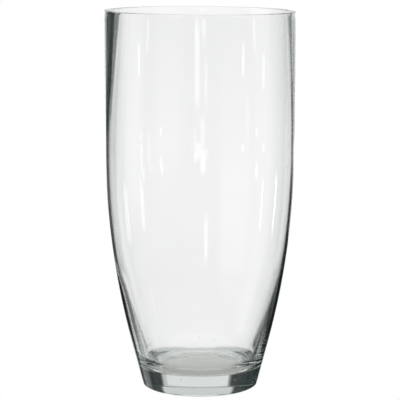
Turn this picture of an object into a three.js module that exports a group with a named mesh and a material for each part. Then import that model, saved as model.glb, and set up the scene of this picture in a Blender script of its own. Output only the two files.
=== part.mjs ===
// A glass cylinder vase for cut flowers, blown in one piece of clear glass.
// Millimetres, +Z up. The origin is the middle of the underside, on the surface the vase stands on.
//
// The upper third is a true cylinder. Below it the outside draws in along one long arc, and ends in a
// short straight taper down to a heavy solid foot. The wall is thin at the waist. It thickens in a
// straight line towards the cut and polished rim, and in another towards the foot.

import * as THREE from 'three';

// Outside
const HEIGHT = 300;
const BODY_RADIUS = 75;
const SHOULDER_HEIGHT = 189; // below this height the outside draws in
const FOOT_TAPER_HEIGHT = 37; // below this height the taper is straight
const FOOT_RADIUS = 46.4; // where the taper would meet the surface below
const FOOT_EDGE_RADIUS = 0.5;

// Underside: a shallow hollow inside a flat ring, so the vase stands steady
const CONTACT_RING_INNER_RADIUS = 39.5;
const HOLLOW_DEPTH = 1.2;

// Wall
const WAIST_THICKNESS = 2;
const RIM_THICKNESS = 6.6;
const RIM_EDGE_RADIUS = 0.6;
const RIM_KNEE_HEIGHT = 203; // above this height the wall thickens towards the rim
const RIM_KNEE_SOFTNESS = 22;
const FOOT_KNEE_HEIGHT = 94; // below this height the wall thickens towards the foot
const FOOT_KNEE_SOFTNESS = 16;
const FOOT_GROWTH = 0.078; // extra thickness for each millimetre below the foot knee

// Inside
const FLOOR_HEIGHT = 15.5;
const FLOOR_CORNER_RADIUS = 18;

// Fineness
const SEGMENTS = 60;
const HOLLOW_STEPS = 4;
const OUTER_ARC_STEPS = 10;
const INNER_WALL_STEPS = 20;
const CORNER_STEPS = 5;
const EDGE_STEPS = 3;
const SLOPE_SPAN = 0.5; // heights this far either side give the wall's slope
const TIGHTEST_ARC = 1.01; // as a multiple of the height that the arc spans
const WIDEST_ARC = 100;
const HALVINGS = 60;

// The long arc is tangent to the cylinder at the shoulder and to the straight foot taper. Its radius
// is the one that brings the taper down to the foot radius, found by halving.
const arcDrop = SHOULDER_HEIGHT - FOOT_TAPER_HEIGHT;

function arcInset(radius, drop) {
  return radius - Math.sqrt(radius * radius - drop * drop);
}

function footSlope(radius) {
  return arcDrop / Math.sqrt(radius * radius - arcDrop * arcDrop);
}

function footRadiusFor(radius) {
  return BODY_RADIUS - arcInset(radius, arcDrop) - footSlope(radius) * FOOT_TAPER_HEIGHT;
}

function solveArcRadius() {
  let tight = arcDrop * TIGHTEST_ARC;
  let wide = arcDrop * WIDEST_ARC;
  for (let i = 0; i < HALVINGS; i++) {
    const middle = (tight + wide) / 2;
    if (footRadiusFor(middle) > FOOT_RADIUS) wide = middle;
    else tight = middle;
  }
  return (tight + wide) / 2;
}

const arcRadius = solveArcRadius();
const taperSlope = footSlope(arcRadius);

function outerRadius(z) {
  if (z >= SHOULDER_HEIGHT) return BODY_RADIUS;
  if (z >= FOOT_TAPER_HEIGHT) return BODY_RADIUS - arcInset(arcRadius, SHOULDER_HEIGHT - z);
  return FOOT_RADIUS + taperSlope * z;
}

// Zero well short of the knee and the distance past it well past the knee, with a soft bend between.
function pastKnee(distance, softness) {
  return (distance + Math.sqrt(distance * distance + softness * softness)) / 2;
}

const rimReach = pastKnee(HEIGHT - RIM_KNEE_HEIGHT, RIM_KNEE_SOFTNESS);
const rimGrowth = (RIM_THICKNESS - WAIST_THICKNESS) / rimReach;

function wallThickness(z) {
  const towardsRim = rimGrowth * pastKnee(z - RIM_KNEE_HEIGHT, RIM_KNEE_SOFTNESS);
  const towardsFoot = FOOT_GROWTH * pastKnee(FOOT_KNEE_HEIGHT - z, FOOT_KNEE_SOFTNESS);
  return WAIST_THICKNESS + towardsRim + towardsFoot;
}

function innerRadius(z) {
  return outerRadius(z) - wallThickness(z);
}

// Points of an arc about (x, y), from one angle to another, both ends included.
function arc(x, y, radius, from, to, steps) {
  const points = [];
  for (let i = 0; i <= steps; i++) {
    const angle = from + ((to - from) * i) / steps;
    points.push(new THREE.Vector2(x + radius * Math.cos(angle), y + radius * Math.sin(angle)));
  }
  return points;
}

// Points of a surface of the given radius between two heights, the first height left out.
function wall(radiusAt, from, to, steps) {
  const points = [];
  for (let i = 1; i <= steps; i++) {
    const z = from + ((to - from) * i) / steps;
    points.push(new THREE.Vector2(radiusAt(z), z));
  }
  return points;
}

// The underside, from the axis out to the foot edge.
function underside() {
  const points = [];
  for (let i = 0; i <= HOLLOW_STEPS; i++) {
    const r = (CONTACT_RING_INNER_RADIUS * i) / HOLLOW_STEPS;
    const share = i / HOLLOW_STEPS;
    points.push(new THREE.Vector2(r, HOLLOW_DEPTH * (1 - share * share)));
  }
  return points;
}

// The rounded edge between the contact ring and the foot taper.
function footEdge() {
  const lean = Math.atan(taperSlope);
  const centre = outerRadius(FOOT_EDGE_RADIUS) - FOOT_EDGE_RADIUS / Math.cos(lean);
  return arc(centre, FOOT_EDGE_RADIUS, FOOT_EDGE_RADIUS, -Math.PI / 2, -lean, EDGE_STEPS);
}

// The flat cut rim with its two polished edges, from the outside to the inside.
function rim() {
  const z = HEIGHT - RIM_EDGE_RADIUS;
  const outer = BODY_RADIUS - RIM_EDGE_RADIUS;
  const inner = innerRadius(z) + RIM_EDGE_RADIUS;
  return [
    ...arc(outer, z, RIM_EDGE_RADIUS, 0, Math.PI / 2, EDGE_STEPS),
    ...arc(inner, z, RIM_EDGE_RADIUS, Math.PI / 2, Math.PI, EDGE_STEPS),
  ];
}

// The rounded corner from the inner wall to the floor. Its centre is one corner radius above the
// floor and, across the lean of the wall, one corner radius inside it.
function floorCorner() {
  const z = FLOOR_HEIGHT + FLOOR_CORNER_RADIUS;
  const slope = (innerRadius(z + SLOPE_SPAN) - innerRadius(z - SLOPE_SPAN)) / (2 * SLOPE_SPAN);
  const lean = Math.atan(slope);
  const r = innerRadius(z) - FLOOR_CORNER_RADIUS / Math.cos(lean);
  return arc(r, z, FLOOR_CORNER_RADIUS, -lean, -Math.PI / 2, CORNER_STEPS);
}

function vaseProfile() {
  const foot = footEdge();
  const footTop = foot[foot.length - 1].y;
  const edge = rim();
  const corner = floorCorner();
  const cornerTop = corner[0].y;
  return [
    ...underside(),
    ...foot,
    ...wall(outerRadius, footTop, FOOT_TAPER_HEIGHT, 1),
    ...wall(outerRadius, FOOT_TAPER_HEIGHT, SHOULDER_HEIGHT, OUTER_ARC_STEPS),
    ...edge,
    ...wall(innerRadius, HEIGHT - RIM_EDGE_RADIUS, cornerTop, INNER_WALL_STEPS).slice(0, -1),
    ...corner,
    new THREE.Vector2(0, FLOOR_HEIGHT),
  ];
}

function glassVase() {
  const geometry = new THREE.LatheGeometry(vaseProfile(), SEGMENTS);
  geometry.rotateX(Math.PI / 2);
  const clearGlass = new THREE.MeshStandardMaterial({
    name: 'clear_glass',
    color: 0xe9efec,
    roughness: 0.03,
    metalness: 0,
    transparent: true,
    opacity: 0.35,
  });
  const mesh = new THREE.Mesh(geometry, clearGlass);
  mesh.name = 'glass_vase';
  return mesh;
}

const vase = new THREE.Group();
vase.add(glassVase());

export default vase;
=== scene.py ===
"""The looks of a glass cylinder vase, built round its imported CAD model.

Metres, +Z up, origin in the middle of the underside. The vase is one body of blown glass, so it is one
mesh: a lathed profile with the slight unevenness of blown glass, and small seed bubbles in its foot and
lower wall.
"""
import math
import random

import bmesh
import bpy
from mathutils import Matrix, Vector


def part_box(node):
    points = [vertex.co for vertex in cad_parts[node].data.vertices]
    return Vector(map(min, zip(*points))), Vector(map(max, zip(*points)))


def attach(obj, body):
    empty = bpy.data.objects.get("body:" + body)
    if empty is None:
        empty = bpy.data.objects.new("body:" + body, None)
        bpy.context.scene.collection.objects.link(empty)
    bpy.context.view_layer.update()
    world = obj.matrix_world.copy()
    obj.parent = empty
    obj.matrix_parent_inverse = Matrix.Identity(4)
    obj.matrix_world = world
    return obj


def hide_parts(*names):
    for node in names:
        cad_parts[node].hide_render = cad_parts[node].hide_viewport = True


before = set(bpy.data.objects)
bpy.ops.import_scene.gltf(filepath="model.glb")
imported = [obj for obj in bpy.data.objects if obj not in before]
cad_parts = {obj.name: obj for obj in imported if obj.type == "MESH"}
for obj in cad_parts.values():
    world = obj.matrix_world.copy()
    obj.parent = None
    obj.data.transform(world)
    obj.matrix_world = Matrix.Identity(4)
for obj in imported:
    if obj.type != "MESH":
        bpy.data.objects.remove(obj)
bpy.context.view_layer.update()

VASE_TOP_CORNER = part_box("glass_vase")[1]

MM = 0.001

# Outside
HEIGHT = VASE_TOP_CORNER.z
BODY_RADIUS = VASE_TOP_CORNER.x
SHOULDER_HEIGHT = 189 * MM  # below this height the outside draws in
FOOT_TAPER_HEIGHT = 37 * MM  # below this height the taper is straight
FOOT_RADIUS = 46.4 * MM  # where the taper would meet the surface below
FOOT_EDGE_RADIUS = 0.5 * MM
CONTACT_RING_INNER_RADIUS = 39.5 * MM
HOLLOW_DEPTH = 1.2 * MM

# Wall
WAIST_THICKNESS = 2 * MM
RIM_THICKNESS = 6.6 * MM
RIM_EDGE_RADIUS = 0.6 * MM
RIM_KNEE_HEIGHT = 203 * MM
RIM_KNEE_SOFTNESS = 22 * MM
FOOT_KNEE_HEIGHT = 94 * MM
FOOT_KNEE_SOFTNESS = 16 * MM
FOOT_GROWTH = 0.078  # how much thicker the wall gets for each unit of height below that knee

# Inside
FLOOR_HEIGHT = 15.5 * MM
FLOOR_CORNER_RADIUS = 18 * MM

# Unevenness of blown glass
CAVITY_SHIFT = 1.0 * MM  # how far the cavity's middle is to +X at the rim
RIM_TILT = 0.6 * MM  # the rim is cut this much lower in the middle than at -X, and twice this at +X
WAVE_SEED = 11
WAVE_COUNT = 9
WAVE_TURNS = [2, 3, 4, 5, 7, 9, 12]  # how many times a wave may rise and fall round the wall
WAVE_DRIFT = 25  # how fast a wave's phase may change on the way up, in radians per metre
WAVE_HEIGHT = 0.035 * MM
WAVE_WEIGHTS = (0.4, 1)  # the weakest and the strongest wave
WAVE_START = 20 * MM  # how far above the floor the waves reach their full height
RIPPLE_HEIGHT = 0.03 * MM
RIPPLE_SPACING = 5.5 * MM
RIPPLE_END = 42 * MM  # the radius where the rings in the floor have died away
RIPPLE_FADE = 8 * MM
RIPPLE_REACH = 1 * MM  # the rings end this far above the floor
BUBBLE_SEED = 5
BUBBLE_COUNT = 16
BUBBLE_HEIGHTS = (4, 60)  # mm
BUBBLE_RADII = (0.15, 0.38)  # mm
BUBBLE_STRETCH = 1.3
BUBBLE_TO_FLOOR = 3 * MM  # how far below the floor the bubbles of the solid foot end
FOOT_BUBBLE_REACH = (0.3, 0.92)  # from the axis, over the outer radius
WALL_BUBBLE_DEPTH = (0.35, 0.6)  # under the outside, over the thickness of the wall
DEEPEST_WALL = 6 * MM  # a thicker wall counts as this thick

# Fineness
SEGMENTS = 192
WALL_STEPS = 110
EDGE_STEPS = 6
RING_STEPS = 4
FLOOR_STEPS = 30
SLOPE_SPAN = 0.5 * MM  # above and below a point, to find the slope of the wall there


# --- Profile of the vase, the same law as the CAD's -------------------------------------------------

ARC_DROP = SHOULDER_HEIGHT - FOOT_TAPER_HEIGHT
TIGHTEST_ARC = 1.01  # radius over drop
WIDEST_ARC = 100
HALVINGS = 60


def arc_inset(radius, drop):
    return radius - math.sqrt(radius * radius - drop * drop)


def foot_slope(radius):
    return ARC_DROP / math.sqrt(radius * radius - ARC_DROP * ARC_DROP)


def solve_arc_radius():
    """The radius of the long arc that brings the straight taper down to the foot radius."""
    tight, wide = ARC_DROP * TIGHTEST_ARC, ARC_DROP * WIDEST_ARC
    for _ in range(HALVINGS):
        middle = (tight + wide) / 2
        foot = BODY_RADIUS - arc_inset(middle, ARC_DROP) - foot_slope(middle) * FOOT_TAPER_HEIGHT
        if foot > FOOT_RADIUS:
            wide = middle
        else:
            tight = middle
    return (tight + wide) / 2


ARC_RADIUS = solve_arc_radius()
TAPER_SLOPE = foot_slope(ARC_RADIUS)


def outer_radius(z):
    if z >= SHOULDER_HEIGHT:
        return BODY_RADIUS
    if z >= FOOT_TAPER_HEIGHT:
        return BODY_RADIUS - arc_inset(ARC_RADIUS, SHOULDER_HEIGHT - z)
    return FOOT_RADIUS + TAPER_SLOPE * z


def past_knee(distance, softness):
    """Zero well short of the knee and the distance well past it, with a soft bend between."""
    return (distance + math.hypot(distance, softness)) / 2


def wall_thickness(z):
    reach = past_knee(HEIGHT - RIM_KNEE_HEIGHT, RIM_KNEE_SOFTNESS)
    rim_growth = (RIM_THICKNESS - WAIST_THICKNESS) / reach
    towards_rim = rim_growth * past_knee(z - RIM_KNEE_HEIGHT, RIM_KNEE_SOFTNESS)
    towards_foot = FOOT_GROWTH * past_knee(FOOT_KNEE_HEIGHT - z, FOOT_KNEE_SOFTNESS)
    return WAIST_THICKNESS + towards_rim + towards_foot


def inner_radius(z):
    return outer_radius(z) - wall_thickness(z)


def between(start, end, steps):
    """Evenly spaced values from start to end, start left out."""
    return [start + (end - start) * i / steps for i in range(1, steps + 1)]


def arc(x, z, radius, start, end, steps):
    """Points of an arc about (x, z), both ends included."""
    angles = [start] + between(start, end, steps)
    return [(x + radius * math.cos(a), z + radius * math.sin(a)) for a in angles]


def outside_profile():
    """From the middle of the underside, round the foot edge and up to the middle of the rim."""
    points = [(0, HOLLOW_DEPTH)]
    for share in between(0, 1, FLOOR_STEPS):
        points.append((CONTACT_RING_INNER_RADIUS * share, HOLLOW_DEPTH * (1 - share**4)))
    lean = math.atan(TAPER_SLOPE)
    edge_centre = outer_radius(FOOT_EDGE_RADIUS) - FOOT_EDGE_RADIUS / math.cos(lean)
    points += [(r, 0) for r in between(CONTACT_RING_INNER_RADIUS, edge_centre, RING_STEPS)[:-1]]
    points += arc(edge_centre, FOOT_EDGE_RADIUS, FOOT_EDGE_RADIUS, -math.pi / 2, -lean, EDGE_STEPS)
    edge_top = HEIGHT - RIM_EDGE_RADIUS
    points += [(outer_radius(z), z) for z in between(points[-1][1], edge_top, WALL_STEPS)[:-1]]
    points += arc(BODY_RADIUS - RIM_EDGE_RADIUS, edge_top, RIM_EDGE_RADIUS, 0, math.pi / 2, EDGE_STEPS)
    return points


def inside_profile():
    """From the inner edge of the rim down the wall, round the floor corner and to the middle of the floor."""
    edge_top = HEIGHT - RIM_EDGE_RADIUS
    edge_centre = inner_radius(edge_top) + RIM_EDGE_RADIUS
    points = arc(edge_centre, edge_top, RIM_EDGE_RADIUS, math.pi / 2, math.pi, EDGE_STEPS)
    corner_z = FLOOR_HEIGHT + FLOOR_CORNER_RADIUS
    slope = (inner_radius(corner_z + SLOPE_SPAN) - inner_radius(corner_z - SLOPE_SPAN)) / (2 * SLOPE_SPAN)
    lean = math.atan(slope)
    corner_r = inner_radius(corner_z) - FLOOR_CORNER_RADIUS / math.cos(lean)
    corner = arc(corner_r, corner_z, FLOOR_CORNER_RADIUS, -lean, -math.pi / 2, FLOOR_STEPS)
    points += [(inner_radius(z), z) for z in between(edge_top, corner[0][1], WALL_STEPS)[:-1]]
    points += corner
    points += [(r, FLOOR_HEIGHT) for r in between(corner_r, 0, FLOOR_STEPS)]
    return points


# --- Mesh -------------------------------------------------------------------------------------------

def make_waves():
    """A few long waves round and down the wall, each (turns, phase, drift, weight)."""
    draw = random.Random(WAVE_SEED)
    waves = []
    for _ in range(WAVE_COUNT):
        turns = draw.choice(WAVE_TURNS)
        phase = draw.uniform(0, 2 * math.pi)
        drift = draw.uniform(-WAVE_DRIFT, WAVE_DRIFT)
        waves.append((turns, phase, drift, draw.uniform(*WAVE_WEIGHTS)))
    return waves


WAVES = make_waves()


def wave_offset(angle, z):
    return WAVE_HEIGHT * sum(w * math.sin(n * angle + p + d * z) for n, p, d, w in WAVES)


def ripple_offset(radius):
    """Faint rings in the floor, left by the shaping tool."""
    fade = min(1, radius / RIPPLE_SPACING) * max(0, min(1, (RIPPLE_END - radius) / RIPPLE_FADE))
    return RIPPLE_HEIGHT * fade * math.sin(2 * math.pi * radius / RIPPLE_SPACING)


def tilt_of_rim(x, z):
    """The cut of the rim is slightly out of level, which only moves the top of the wall."""
    share = max(0, (z - RIM_KNEE_HEIGHT) / (HEIGHT - RIM_KNEE_HEIGHT))
    return -RIM_TILT * share * (1 + x / BODY_RADIUS)


def vase_point(radius, z, angle, inside):
    if inside:
        lifted = max(0, z - FLOOR_HEIGHT)
        in_wall = min(1, lifted / WAVE_START)
        radius += in_wall * wave_offset(angle, z)
        if lifted < RIPPLE_REACH:
            z += ripple_offset(radius)
    shift = CAVITY_SHIFT * max(0, z - FLOOR_HEIGHT) / (HEIGHT - FLOOR_HEIGHT) if inside else 0
    x = shift + radius * math.cos(angle)
    return Vector((x, radius * math.sin(angle), z + tilt_of_rim(x, z)))


def lathe(bm, profile):
    """Skins a profile of (radius, z, inside) that starts and ends on the axis."""
    rings = []
    for radius, z, inside in profile:
        if radius == 0:
            rings.append([bm.verts.new(vase_point(0, z, 0, inside))])
            continue
        angles = [2 * math.pi * i / SEGMENTS for i in range(SEGMENTS)]
        rings.append([bm.verts.new(vase_point(radius, z, a, inside)) for a in angles])
    for lower, upper in zip(rings[:-1], rings[1:]):
        for i in range(SEGMENTS):
            j = (i + 1) % SEGMENTS
            below = [lower[i % len(lower)], lower[j % len(lower)]]
            above = [upper[j % len(upper)], upper[i % len(upper)]]
            bm.faces.new(list(dict.fromkeys(below + above)))


def add_bubble(bm, centre, radius):
    """A seed bubble: a small closed hollow, so its faces point into it."""
    place = Matrix.Translation(centre) @ Matrix.Diagonal((1, 1, BUBBLE_STRETCH, 1))
    made = bmesh.ops.create_icosphere(bm, subdivisions=2, radius=radius, matrix=place)
    faces = {face for vert in made["verts"] for face in vert.link_faces}
    bmesh.ops.reverse_faces(bm, faces=list(faces))


def bubble_places():
    """Seeds in the solid foot and in the thick of the lower wall, as (centre, radius)."""
    draw = random.Random(BUBBLE_SEED)
    for _ in range(BUBBLE_COUNT):
        angle = draw.uniform(0, 2 * math.pi)
        z = draw.uniform(*BUBBLE_HEIGHTS) * MM
        if z < FLOOR_HEIGHT - BUBBLE_TO_FLOOR:
            radius = draw.uniform(*FOOT_BUBBLE_REACH) * outer_radius(z)
        else:
            wall = min(wall_thickness(z), DEEPEST_WALL)
            radius = outer_radius(z) - draw.uniform(*WALL_BUBBLE_DEPTH) * wall
        centre = Vector((radius * math.cos(angle), radius * math.sin(angle), z))
        yield centre, draw.uniform(*BUBBLE_RADII) * MM


def build_vase():
    profile = [(r, z, False) for r, z in outside_profile()] + [(r, z, True) for r, z in inside_profile()]
    bm = bmesh.new()
    lathe(bm, profile)
    bmesh.ops.recalc_face_normals(bm, faces=bm.faces)
    for centre, radius in bubble_places():
        add_bubble(bm, centre, radius)
    for face in bm.faces:
        face.smooth = True
    mesh = bpy.data.meshes.new("blown_glass_vase")
    bm.to_mesh(mesh)
    bm.free()
    vase = bpy.data.objects.new("blown_glass_vase", mesh)
    bpy.context.scene.collection.objects.link(vase)
    return vase


# --- Node helpers -----------------------------------------------------------------------------------

class Nodes:
    """Adds nodes to one tree, and links their inputs by name or number."""

    def __init__(self, tree):
        self.tree = tree
        tree.nodes.clear()

    def add(self, kind, inputs=None, **settings):
        node = self.tree.nodes.new(kind)
        for key, value in settings.items():
            setattr(node, key, value)
        for key, value in (inputs or {}).items():
            if isinstance(value, bpy.types.NodeSocket):
                self.tree.links.new(value, node.inputs[key])
            else:
                node.inputs[key].default_value = value
        return node

    def math(self, operation, *values):
        return self.add("ShaderNodeMath", dict(enumerate(values)), operation=operation).outputs[0]

    def fade(self, value, start, end, first=1.0, last=0.0):
        """first before start, last after end, and a smooth change between."""
        numbers = {0: value, 1: start, 2: end, 3: first, 4: last}
        return self.add("ShaderNodeMapRange", numbers, interpolation_type="SMOOTHSTEP").outputs[0]

    def mix_colour(self, factor, first, second):
        node = self.add("ShaderNodeMix", {0: factor, 6: first, 7: second}, data_type="RGBA")
        node.clamp_result = False
        return node.outputs[2]


# --- Glass ------------------------------------------------------------------------------------------

GLASS_IOR = 1.52
GLASS_TINT = (0.47, 0.53, 0.5, 1)
GLASS_DENSITY = 7  # per metre
STREAK_SCALE = 55
STREAK_DETAIL = 2
STREAK_STRETCH = 0.12  # along Z, so the streaks run up the wall
STREAK_DEPTH = 0.6 * MM
STREAK_STRENGTH = 0.06
SMUDGE_SCALE = 28
SMUDGE_DETAIL = 5
SMUDGE_EDGES = (0.45, 0.75)  # the noise's value where a smudge starts, and where it is full
SMUDGE_ROUGHNESS = 0.025


def glass_material():
    material = bpy.data.materials.new("clear_glass")
    material.use_nodes = True
    n = Nodes(material.node_tree)
    where = n.add("ShaderNodeTexCoord").outputs["Object"]
    streaks_at = n.add("ShaderNodeMapping", {0: where, 3: (1, 1, STREAK_STRETCH)}).outputs[0]
    streaks_look = {"Vector": streaks_at, "Scale": STREAK_SCALE, "Detail": STREAK_DETAIL}
    streaks = n.add("ShaderNodeTexNoise", streaks_look).outputs["Fac"]
    smudges_look = {"Vector": where, "Scale": SMUDGE_SCALE, "Detail": SMUDGE_DETAIL}
    smudges = n.add("ShaderNodeTexNoise", smudges_look).outputs["Fac"]
    bump_look = {"Strength": STREAK_STRENGTH, "Distance": STREAK_DEPTH, "Height": streaks}
    glass = n.add("ShaderNodeBsdfPrincipled", {
        "Base Color": (1, 1, 1, 1),
        "Transmission Weight": 1,
        "IOR": GLASS_IOR,
        "Roughness": n.fade(smudges, *SMUDGE_EDGES, 0.0, SMUDGE_ROUGHNESS),
        "Normal": n.add("ShaderNodeBump", bump_look).outputs[0],
    })
    depth = n.add("ShaderNodeVolumeAbsorption", {"Color": GLASS_TINT, "Density": GLASS_DENSITY})
    n.add("ShaderNodeOutputMaterial", {"Surface": glass.outputs[0], "Volume": depth.outputs[0]})
    return material


# --- Studio -----------------------------------------------------------------------------------------
# The background is a white sweep, seen directly by the camera. The glass sees a dark studio with
# soft white panels, which gives it its dark edges. Azimuth 0 is +Y and grows towards +X, elevation 0
# is level, and both are in degrees.

DARK_STUDIO = (0.026, 0.036, 0.037, 1)
COOLNESS = 0.16  # how much less red the dim parts of the studio have


def panel(azimuths, elevations, brightness, side_softness, end_softness):
    """A soft panel in the distance. Its softness is the width of the fade at its edges."""
    return azimuths, elevations, brightness, side_softness, end_softness


# A later panel covers an earlier one. The large panels were fitted to the look of the real glass by a
# separate program, and then rounded and joined. The strip lights and lamps were set to make the thin
# highlights in the wall.
PANELS = [
    panel((55, 305), (-30, 5), 0.35, 25, 5),  # room, at the sides and behind the camera
    panel((-181, 181), (45, 95), 0.8, 2, 10),  # overhead softbox
    panel((65, 295), (-60, -35), 0.75, 15, 15),  # table, at the sides and in front
    panel((-181, 181), (-95, -60), 0.6, 2, 20),  # table, close under the vase
    panel((-60, -35), (-45, -10), 0.9, 10, 10),  # card, behind on the left
    panel((35, 55), (-20, 0), 0.7, 5, 10),  # card, behind on the right
    panel((115, 155), (-30, -5), 0.9, 15, 10),  # card, in front on the right
    panel((-105, -75), (-15, 10), 0.9, 15, 10),  # card, left
    panel((-25, 30), (10, 45), 0.85, 5, 5),  # backdrop, high
    panel((-20, 27), (0, 9), 0.75, 5, 2),  # backdrop, where it bends back
    panel((-19, 23), (-9, 3), 1.0, 1, 4),  # backdrop, at eye level
    panel((-12, 13), (-22, -6), 1.0, 8, 2),  # backdrop, low in the middle
    panel((-20, 17), (-30, -18), 1.0, 6, 3),  # table, far end
    panel((-35, 30), (-60, -30), 0.6, 15, 5),  # table, behind the vase
    panel((-10, 10), (-60, -20), 1.0, 10, 5),  # table, brightest in the middle
    panel((180.5, 186), (-6, -3.2), 2.8, 2, 1),  # strip light behind the camera
    panel((171.5, 174.5), (-6, -4.5), 2.0, 1, 1),  # smaller strip beside it
    panel((171, 175), (-26, -18), 1.8, 1, 3),  # strip light, low behind the camera
    panel((-104, -101), (-5, -3.9), 3.5, 1, 0.5),  # small lamp, left
    panel((126, 129), (-5, -3.9), 3.5, 1, 0.5),  # small lamp, in front on the right
    panel((97, 100), (-5.4, -4.3), 3.0, 1, 0.5),  # small lamp, right
    panel((-119, -114), (-8.2, -7.2), 1.8, 3, 1.5),  # soft lamp, in front on the left
    panel((-105, -102), (-18, -11), 2.6, 1, 2),  # tall lamp, left
    panel((-76, -73), (-18, -11), 2.6, 1, 2),  # tall lamp, left and further back
    panel((73, 76), (-17, -10), 2.6, 1, 2),  # tall lamp, right and further back
    panel((97, 99), (-18, -11), 3.0, 1, 2),  # tall lamp, right
    panel((-98.5, -96.5), (-44, -34), 2.0, 1, 3),  # lamp's glint on the table, left
]


def studio_light():
    world = bpy.data.worlds.new("studio")
    bpy.context.scene.world = world
    world.use_nodes = True
    n = Nodes(world.node_tree)
    direction = n.add("ShaderNodeTexCoord").outputs["Generated"]
    x, y, z = n.add("ShaderNodeSeparateXYZ", {0: direction}).outputs
    degrees = 180 / math.pi
    azimuth = n.math("MULTIPLY", n.math("ARCTAN2", x, y), degrees)
    elevation = n.math("MULTIPLY", n.math("ARCSINE", z), degrees)
    colour = DARK_STUDIO
    for azimuths, elevations, brightness, side_softness, end_softness in PANELS:
        middle = (sum(azimuths) / 2, sum(elevations) / 2)
        half = ((azimuths[1] - azimuths[0]) / 2, (elevations[1] - elevations[0]) / 2)
        # the angle to the panel's middle, the shorter way round
        aside = n.math("PINGPONG", n.math("SUBTRACT", azimuth, middle[0]), 180)
        above = n.math("ABSOLUTE", n.math("SUBTRACT", elevation, middle[1]))
        across = n.fade(aside, half[0] - side_softness / 2, half[0] + side_softness / 2)
        up = n.fade(above, half[1] - end_softness / 2, half[1] + end_softness / 2)
        tint = 1 - COOLNESS * max(0, 1 - brightness)
        light = (brightness * tint, brightness, brightness * (1 + tint) / 2, 1)
        colour = n.mix_colour(n.math("MULTIPLY", across, up), colour, light)
    sky = n.add("ShaderNodeBackground", {"Color": colour, "Strength": 1})
    n.add("ShaderNodeOutputWorld", {"Surface": sky.outputs[0]})


STAGE_RADIUS = 8
FLOOR_DROP = 1 * MM
FOOT_FLOOR_RADIUS = 46 * MM
FOOT_FLOOR_DROP = 0.4 * MM
WHITE = (1, 1, 1, 1)
# grey of the painted shadow that the vase casts on the table under its foot
SHADED_FLOOR = (0.42, 0.42, 0.4, 1)


def glow_material(name, colour):
    material = bpy.data.materials.new(name)
    material.use_nodes = True
    n = Nodes(material.node_tree)
    surface = n.add("ShaderNodeEmission", {"Color": colour, "Strength": 1}).outputs[0]
    n.add("ShaderNodeOutputMaterial", {"Surface": surface})
    return material


def only_seen_by_camera(thing):
    for ray in ("transmission", "glossy", "diffuse", "shadow"):
        setattr(thing, f"visible_{ray}", False)


def only_seen_by_glass(thing):
    thing.visible_camera = False
    thing.visible_shadow = False


def disc(name, radius, z, colour, sides=96):
    turns = [2 * math.pi * i / sides for i in range(sides)]
    verts = [(radius * math.cos(a), radius * math.sin(a), z) for a in turns]
    mesh = bpy.data.meshes.new(name)
    mesh.from_pydata(verts, [], [tuple(range(sides))])
    mesh.materials.append(glow_material(name, colour))
    made = bpy.data.objects.new(name, mesh)
    bpy.context.scene.collection.objects.link(made)
    return made


def build_studio():
    studio_light()
    sweep = disc("pale_floor", STAGE_RADIUS, -FLOOR_DROP, WHITE)
    only_seen_by_camera(sweep)
    bpy.ops.mesh.primitive_uv_sphere_add(segments=48, ring_count=24, radius=STAGE_RADIUS)
    backdrop = bpy.context.object
    backdrop.name = "backdrop"
    backdrop.data.materials.append(glow_material("backdrop", WHITE))
    only_seen_by_camera(backdrop)
    # a glowing grey disc under the foot, seen only through the glass: painted shadow of the vase on the table
    under = disc("painted_shadow_under_foot", FOOT_FLOOR_RADIUS, -FOOT_FLOOR_DROP, SHADED_FLOOR)
    only_seen_by_glass(under)


# --- Camera -----------------------------------------------------------------------------------------

CAMERA_DISTANCE = 1.2576
CAMERA_HEIGHT = 0.3583
CAMERA_LENS = 143.82  # mm
CAMERA_SENSOR = 36  # mm
CAMERA_SHIFT = -0.0035
CAMERA_CLIP = (0.05, 50)


def build_camera():
    data = bpy.data.cameras.new("camera")
    camera = bpy.data.objects.new("camera", data)
    bpy.context.scene.collection.objects.link(camera)
    bpy.context.scene.camera = camera
    pitch = math.atan((CAMERA_HEIGHT - HEIGHT / 2) / CAMERA_DISTANCE)
    camera.location = (0, -CAMERA_DISTANCE, CAMERA_HEIGHT)
    camera.rotation_euler = (math.pi / 2 - pitch, 0, 0)
    data.sensor_width = CAMERA_SENSOR
    data.lens = CAMERA_LENS
    data.shift_y = CAMERA_SHIFT
    data.clip_start, data.clip_end = CAMERA_CLIP


def set_light_paths():
    """Thick glass needs many bounces, and the white sweep has to stay white."""
    scene = bpy.context.scene
    scene.view_settings.view_transform = "Standard"
    scene.view_settings.look = "None"
    scene.cycles.max_bounces = 40
    scene.cycles.transmission_bounces = 40
    scene.cycles.glossy_bounces = 20
    scene.cycles.diffuse_bounces = 3
    scene.cycles.caustics_reflective = True
    scene.cycles.caustics_refractive = True


vase = build_vase()
vase.data.materials.append(glass_material())
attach(vase, "root")
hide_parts("glass_vase")
build_studio()
build_camera()
set_light_paths()
